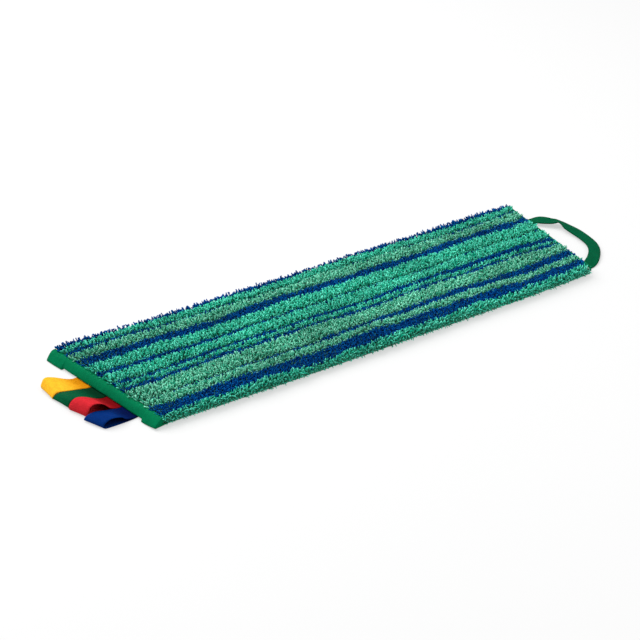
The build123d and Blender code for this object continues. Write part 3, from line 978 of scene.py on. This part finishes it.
def colour_tab(colour):
    """A ribbon folded in two, its two edges on their own curves, leaning aside towards its tip."""
    offset = tab_offset(colour)
    far_form, near_form, lean = TAB_FORMS[colour]
    edges = [ribbon_edge(*far_form), ribbon_edge(*near_form)]
    path = (edges[0] + edges[1]) / 2
    tangent = np.gradient(path, axis=0)
    tangent /= np.linalg.norm(tangent, axis=1)[:, None]
    normal = np.stack([-tangent[:, 1], tangent[:, 0]], axis=1)
    across = np.linspace(1, -1, 13)
    rings = []
    for i in range(len(path)):
        ring = []
        free = np.clip((path[i][0] - TAB_REACH) / (30 * MM), 0, 1)
        aside = offset + lean * MM * free**1.3
        for face in (1, -1):
            for s in across[::face]:
                share = (1 + s) / 2
                reach, height = edges[0][i] * share + edges[1][i] * (1 - share)
                lift = face * RIBBON / 2 * (1 - 0.35 * abs(s) ** 12)
                lift += 0.30 * MM * free * (0.5 - s * s) * (height > FLOOR + 2 * MM)
                up = max(height + normal[i][1] * lift, JUST_OFF_FLOOR)
                place = aside + s * TAB_WIDTH / 2
                ring.append(at_end(-1, reach + normal[i][0] * lift, place, up))
        rings.append(ring)
    piece = loft(f"{colour}_ribbon", rings, RIBBONS[colour])
    body = f"{colour}_tab"
    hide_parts(body, body + "_tail")
    height = YELLOW_PIVOT.z
    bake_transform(piece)


for ribbon_colour in TAB_FORMS:
    colour_tab(ribbon_colour)


# ---------------------------------------------------------------- hanging loop

# Middle of the folded tape: reach, place along the end and height in mm, roll in degrees, share of width
LOOP_FORM = [
    (0.5, 45.0, -1.45, 0, 0.95),
    (6.0, 45.0, -1.45, 0, 0.95),
    (10.8, 44.8, -1.1, 0, 0.95),
    (13.6, 43.6, 0.4, 0, 1.0),
    (17.0, 41.0, 1.7, 3, 1.02),
    (20.6, 37.0, 2.2, 3, 1.02),
    (24.6, 32.8, 2.4, -3, 1.02),
    (28.6, 29.6, 2.6, -9, 0.96),
    (31.8, 26.0, 2.5, -21, 0.8),
    (33.2, 21.0, 2.0, -18, 0.82),
    (33.8, 14.8, 1.4, -8, 0.93),
    (35.1, 8.0, 0.9, -4, 0.95),
    (36.0, -1.0, 0.5, -3, 0.92),
    (36.1, -9.8, 0.3, -3, 0.9),
    (35.1, -19.2, 0.2, -3, 0.87),
    (31.4, -29.0, 0.2, -2, 0.85),
    (24.6, -39.0, 0.0, 0, 0.88),
    (17.0, -46.8, -0.6, 0, 0.95),
    (11.0, -50.5, -1.35, 0, 1.0),
    (6.0, -51.6, -1.55, 0, 1.0),
    (0.5, -51.8, -1.55, 0, 1.0),
]
LOOP_WIDTH = 12.4 * MM  # of the tape folded in two lengthways
LOOP_CLOTH = 0.5 * MM


def folded_section():
    """The tape folded in two lengthways: across its width and up, with the fold outermost."""
    gap = 0.32 * MM
    half = LOOP_WIDTH / 2
    lower = [(-half, -gap), (-half * 0.5, -gap * 1.05), (0, -gap * 1.1), (half * 0.6, -gap * 1.05)]
    fold = [(half - 0.5 * MM, -gap), (half, 0), (half - 0.5 * MM, gap)]
    upper = [(y, -z) for y, z in reversed(lower)]
    return strip_outline(smooth_through(lower + fold + upper, 25), LOOP_CLOTH)


def hanging_loop():
    form = [(out * MM, along * MM, up * MM, roll, width) for out, along, up, roll, width in LOOP_FORM]
    route = smooth_through(form, 150)
    points = [at_end(1, *step[:3]) for step in route]
    section = folded_section()
    rings = []
    for i, point in enumerate(points):
        heading = (points[min(i + 1, len(points) - 1)] - points[max(i - 1, 0)]).normalized()
        roll = Matrix.Rotation(math.radians(route[i][3]), 3, heading)
        outer = roll @ UP.cross(heading).normalized()
        up = heading.cross(outer).normalized() * -1
        ring = []
        for y, z in section:
            place = point + outer * y * route[i][4] + up * z
            place.z = max(place.z, JUST_OFF_FLOOR)
            ring.append(place)
        rings.append(ring)
    piece = loft("hanging_tape_loop", rings, HANGING_TAPE)
    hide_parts("hanging_loop", "hanging_loop_tail", "hanging_loop_corner_tail")
    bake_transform(piece)


hanging_loop()


# ---------------------------------------------------------------- stitches

SEAM_PITCH = 4.2 * MM
TACK_PITCH = 3.4 * MM
STITCH_LENGTH = 3.2 * MM
THREAD_THICKNESS = 0.62 * MM
LOOP_TACKS = (45 * MM, -51 * MM)  # where the loop's two ends are tacked down, along the end
TACK_REACHES = (3 * MM, 6 * MM)


def stitches(name, node_name, rows):
    """Lockstitches: each row is a list of points, with the way the stitches lie."""
    shape = stitch_shape(name + "_stitch", STITCH_LENGTH, THREAD_THICKNESS)
    shapes = shape_collection(name + "_shapes", [shape])
    places = []
    turns = []
    for points, heading in rows:
        facing = math.atan2(-heading.x, heading.y)
        for point in points:
            places.append(tuple(point))
            turns.append((0, 0, facing + rng.normal(0, 0.05)))
    count = len(places)
    shades = rng.uniform(0, 1, count)
    piece = scatter(name, shapes, places, turns, np.ones((count, 3)), np.zeros(count), shades, THREAD)
    bpy.data.objects.remove(shape)
    bpy.data.collections.remove(shapes)
    place_on_pad(piece, "thread", node_name)


def seam(start, stop, pitch=SEAM_PITCH):
    """Evenly spaced points from start to stop."""
    count = int((stop - start).length / pitch)
    return [start.lerp(stop, (i + 0.5) / count) for i in range(count)]


def hem_seams():
    hems = []
    level = HEM_BOTTOM - 0.05 * MM
    for side in (-1, 1):
        y = side * (CLOTH_HALF_WIDTH - HEM_WIDTH + 3 * MM)
        reach = half_length(y, -9 * MM)
        hems.append((seam(Vector((-reach, y, level)), Vector((reach, y, level))), Vector((1, 0, 0))))
    stitches("hem_seams", "hem_stitching", hems)


def binding_seams(end, name, node_name):
    """Two rows through one binding: on top, and under the pad between the hems."""
    along = TAB_ALONG if end < 0 else LOOP_ALONG
    rows = []
    for reach, half, height in (
        (2.3 * MM, 68 * MM, CLOTH_TOP + TAPE + 0.02 * MM),
        (-4 * MM, 47 * MM, -TAPE - 0.05 * MM),
    ):
        rows.append((seam(at_end(end, reach, -half, height), at_end(end, reach, half, height)), along))
    stitches(name, node_name, rows)


def tab_tacks():
    tacks = []
    height = YELLOW_PIVOT.z - 0.45 * MM
    for colour in TAB_FORMS:
        offset = tab_offset(colour)
        for reach in TACK_REACHES:
            start = at_end(-1, reach, offset - 8.5 * MM, height)
            stop = at_end(-1, reach, offset + 8.5 * MM, height)
            tacks.append((seam(start, stop), TAB_ALONG))
    stitches("tab_tacks", "tab_stitching", tacks)


def loop_tacks():
    tacks = []
    height = FLOOR + 0.35 * MM
    for offset in LOOP_TACKS:
        for reach in TACK_REACHES:
            start = at_end(1, reach, offset - 5 * MM, height)
            stop = at_end(1, reach, offset + 5 * MM, height)
            tacks.append((seam(start, stop, TACK_PITCH), LOOP_ALONG))
    stitches("loop_tacks", "hanging_loop_stitching", tacks)


hem_seams()
binding_seams(-1, "tab_end_seams", "tab_end_binding_stitching")
binding_seams(1, "loop_end_seams", "loop_end_binding_stitching")
tab_tacks()
loop_tacks()


# ---------------------------------------------------------------- floor, light and camera

FLOOR_HALF_SIZE = 6.0
FLOOR_GREY = 0.25
FLOOR_GLOW = 0.55  # lifts the floor almost to white, and leaves the soft shadows
ROOM_LIGHT = 0.72
LAMPS = (("key", (-0.5, 0.9, 1.45), 1.9, 52.0), ("fill", (0.9, -1.1, 1.3), 1.4, 12.0))
CAMERA_TARGET = Vector((-23.8 * MM, 3.0 * MM, FLOOR))
CAMERA_AZIMUTH, CAMERA_ELEVATION = math.radians(-34.69), math.radians(29.31)
CAMERA_DISTANCE = 1.515
CAMERA_LENS = 101.25


def floor():
    bm = bmesh.new()
    bmesh.ops.create_grid(bm, x_segments=2, y_segments=2, size=FLOOR_HALF_SIZE)
    mesh = bpy.data.meshes.new("floor")
    bm.to_mesh(mesh)
    bm.free()
    mesh.transform(Matrix.Translation((0, 0, FLOOR)))
    material = bpy.data.materials.new("floor_white")
    material.use_nodes = True
    shader = material.node_tree.nodes["Principled BSDF"]
    shader.inputs["Base Color"].default_value = (FLOOR_GREY, FLOOR_GREY, FLOOR_GREY, 1)
    shader.inputs["Roughness"].default_value = 0.9
    shader.inputs["Specular IOR Level"].default_value = 0.0
    shader.inputs["Emission Color"].default_value = (1, 1, 1, 1)
    shader.inputs["Emission Strength"].default_value = FLOOR_GLOW
    add_object("floor", mesh, material)


def lights():
    world = bpy.data.worlds.new("studio")
    world.use_nodes = True
    background = world.node_tree.nodes["Background"]
    background.inputs["Color"].default_value = (1, 1, 1, 1)
    background.inputs["Strength"].default_value = ROOM_LIGHT
    scene.world = world
    for name, place, size, power in LAMPS:
        light = bpy.data.lights.new(name, "AREA")
        light.size = size
        light.energy = power
        lamp = bpy.data.objects.new(name, light)
        scene.collection.objects.link(lamp)
        lamp.location = place
        lamp.rotation_euler = (-Vector(place)).to_track_quat("-Z", "Y").to_euler()


def camera():
    lens = bpy.data.cameras.new("camera")
    lens.lens = CAMERA_LENS
    lens.sensor_width = 36
    lens.clip_start = 0.05
    eye = bpy.data.objects.new("camera", lens)
    scene.collection.objects.link(eye)
    back = Vector((
        math.sin(CAMERA_AZIMUTH) * math.cos(CAMERA_ELEVATION),
        -math.cos(CAMERA_AZIMUTH) * math.cos(CAMERA_ELEVATION),
        math.sin(CAMERA_ELEVATION),
    ))
    eye.location = CAMERA_TARGET + back * CAMERA_DISTANCE
    eye.rotation_euler = (-back).to_track_quat("-Z", "Y").to_euler()
    scene.camera = eye


floor()
lights()
camera()
scene.view_settings.view_transform = "Standard"
